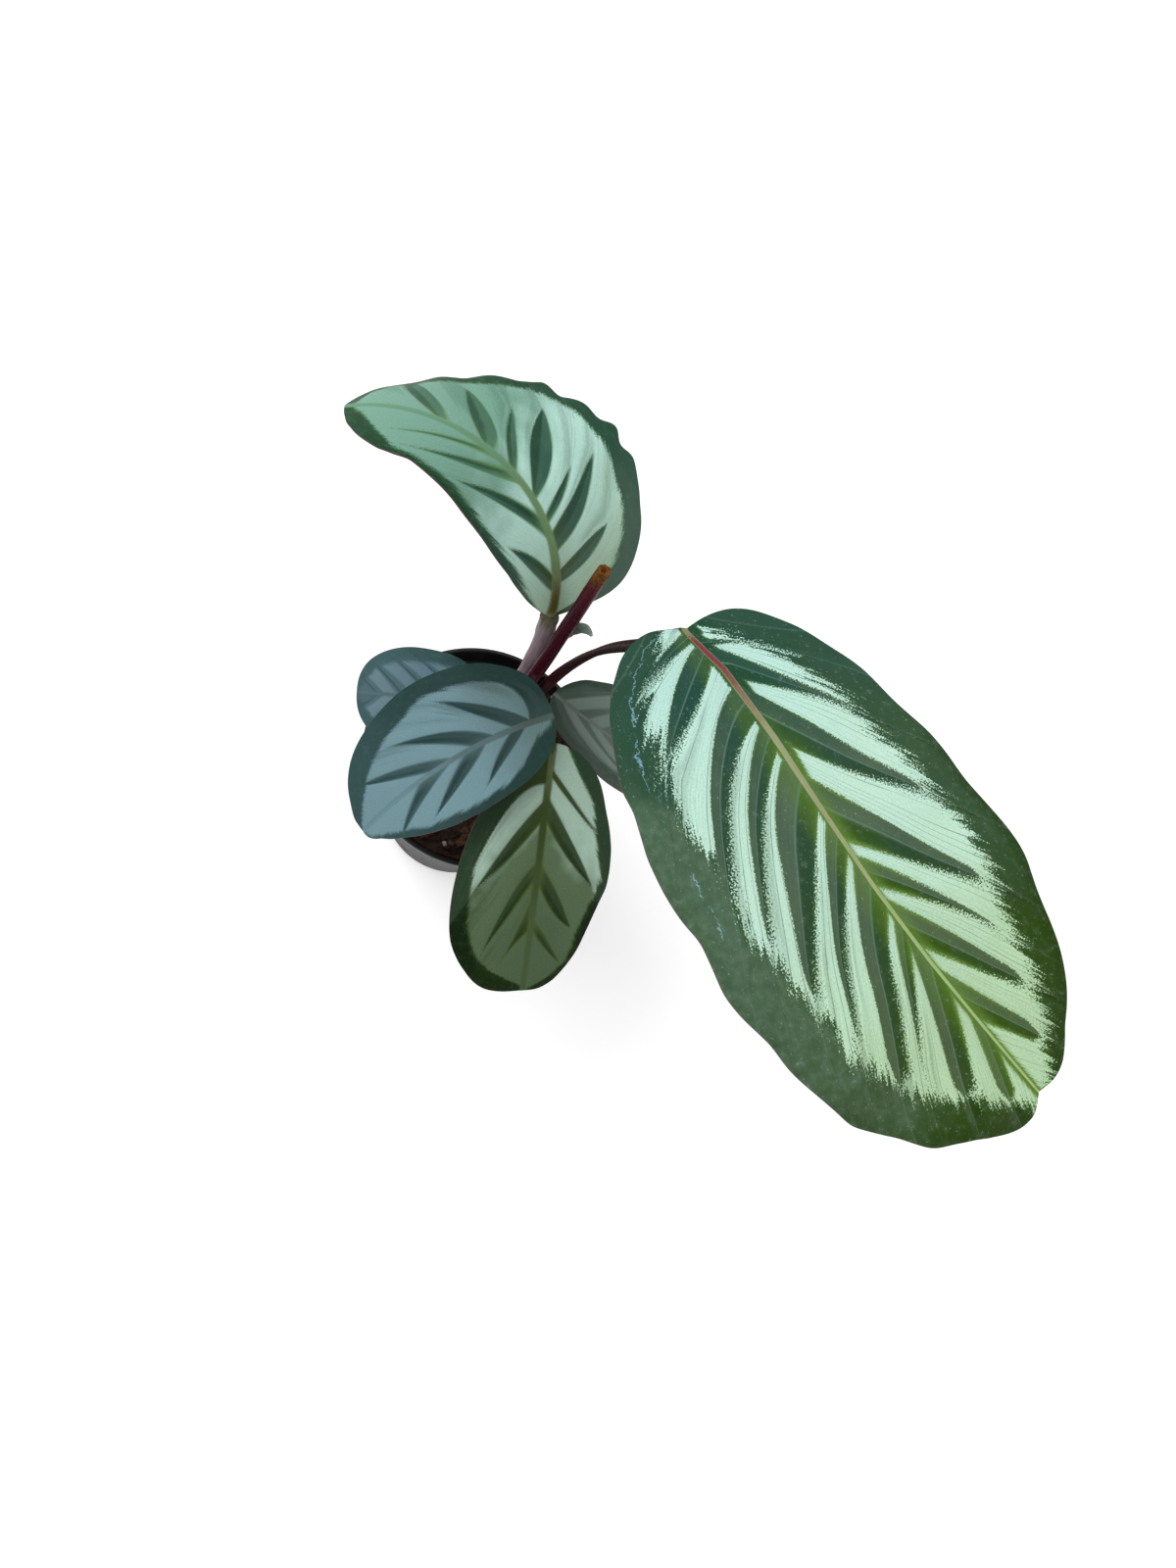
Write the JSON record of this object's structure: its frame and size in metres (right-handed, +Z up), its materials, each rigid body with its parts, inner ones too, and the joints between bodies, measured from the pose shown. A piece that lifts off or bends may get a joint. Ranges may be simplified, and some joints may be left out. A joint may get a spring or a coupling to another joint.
{
  "type": "potted calathea",
  "caption": "Young prayer plant with feather-striped oval leaves on slim stalks, rooted in a plain round nursery pot that stands on its flat base.",
  "frame": {"origin": "centre of the pot's underside, on the surface it stands on", "axes": "+Z up along the pot's axis; +X towards the side that the largest leaf leans over; +Y towards the upright back leaf"},
  "size_m": [0.2009, 0.2451, 0.3305],
  "materials": {
    "pot": "black moulded plastic, satin, slightly scuffed",
    "soil": "loose dark potting mix of fine bark and peat",
    "rhizome": "rough brown skin",
    "root": "matte buff",
    "stalk": "smooth maroon skin, satin",
    "cut_stalk": "smooth magenta skin with a dried brown end",
    "leaf": "waxy dark green with pale mint feather stripes, purple beneath",
    "young_leaf": "pale grey green, satin"
  },
  "bodies": {
    "root": {"pot": "pot", "soil": "soil", "rhizome": "rhizome", "root_1": "root", "root_2": "root", "root_3": "root", "root_4": "root", "root_5": "root", "stalk_right": "stalk", "stalk_back": "stalk", "stalk_front": "stalk", "stalk_left": "stalk", "stalk_low_right": "stalk", "stalk_low_left": "stalk", "cut_stalk": "cut_stalk", "blade_right": "leaf", "blade_back": "leaf", "blade_front": "leaf", "blade_left": "leaf", "blade_low_right": "leaf", "blade_low_left": "leaf", "young_leaf": "young_leaf"}
  },
  "joints": []
}
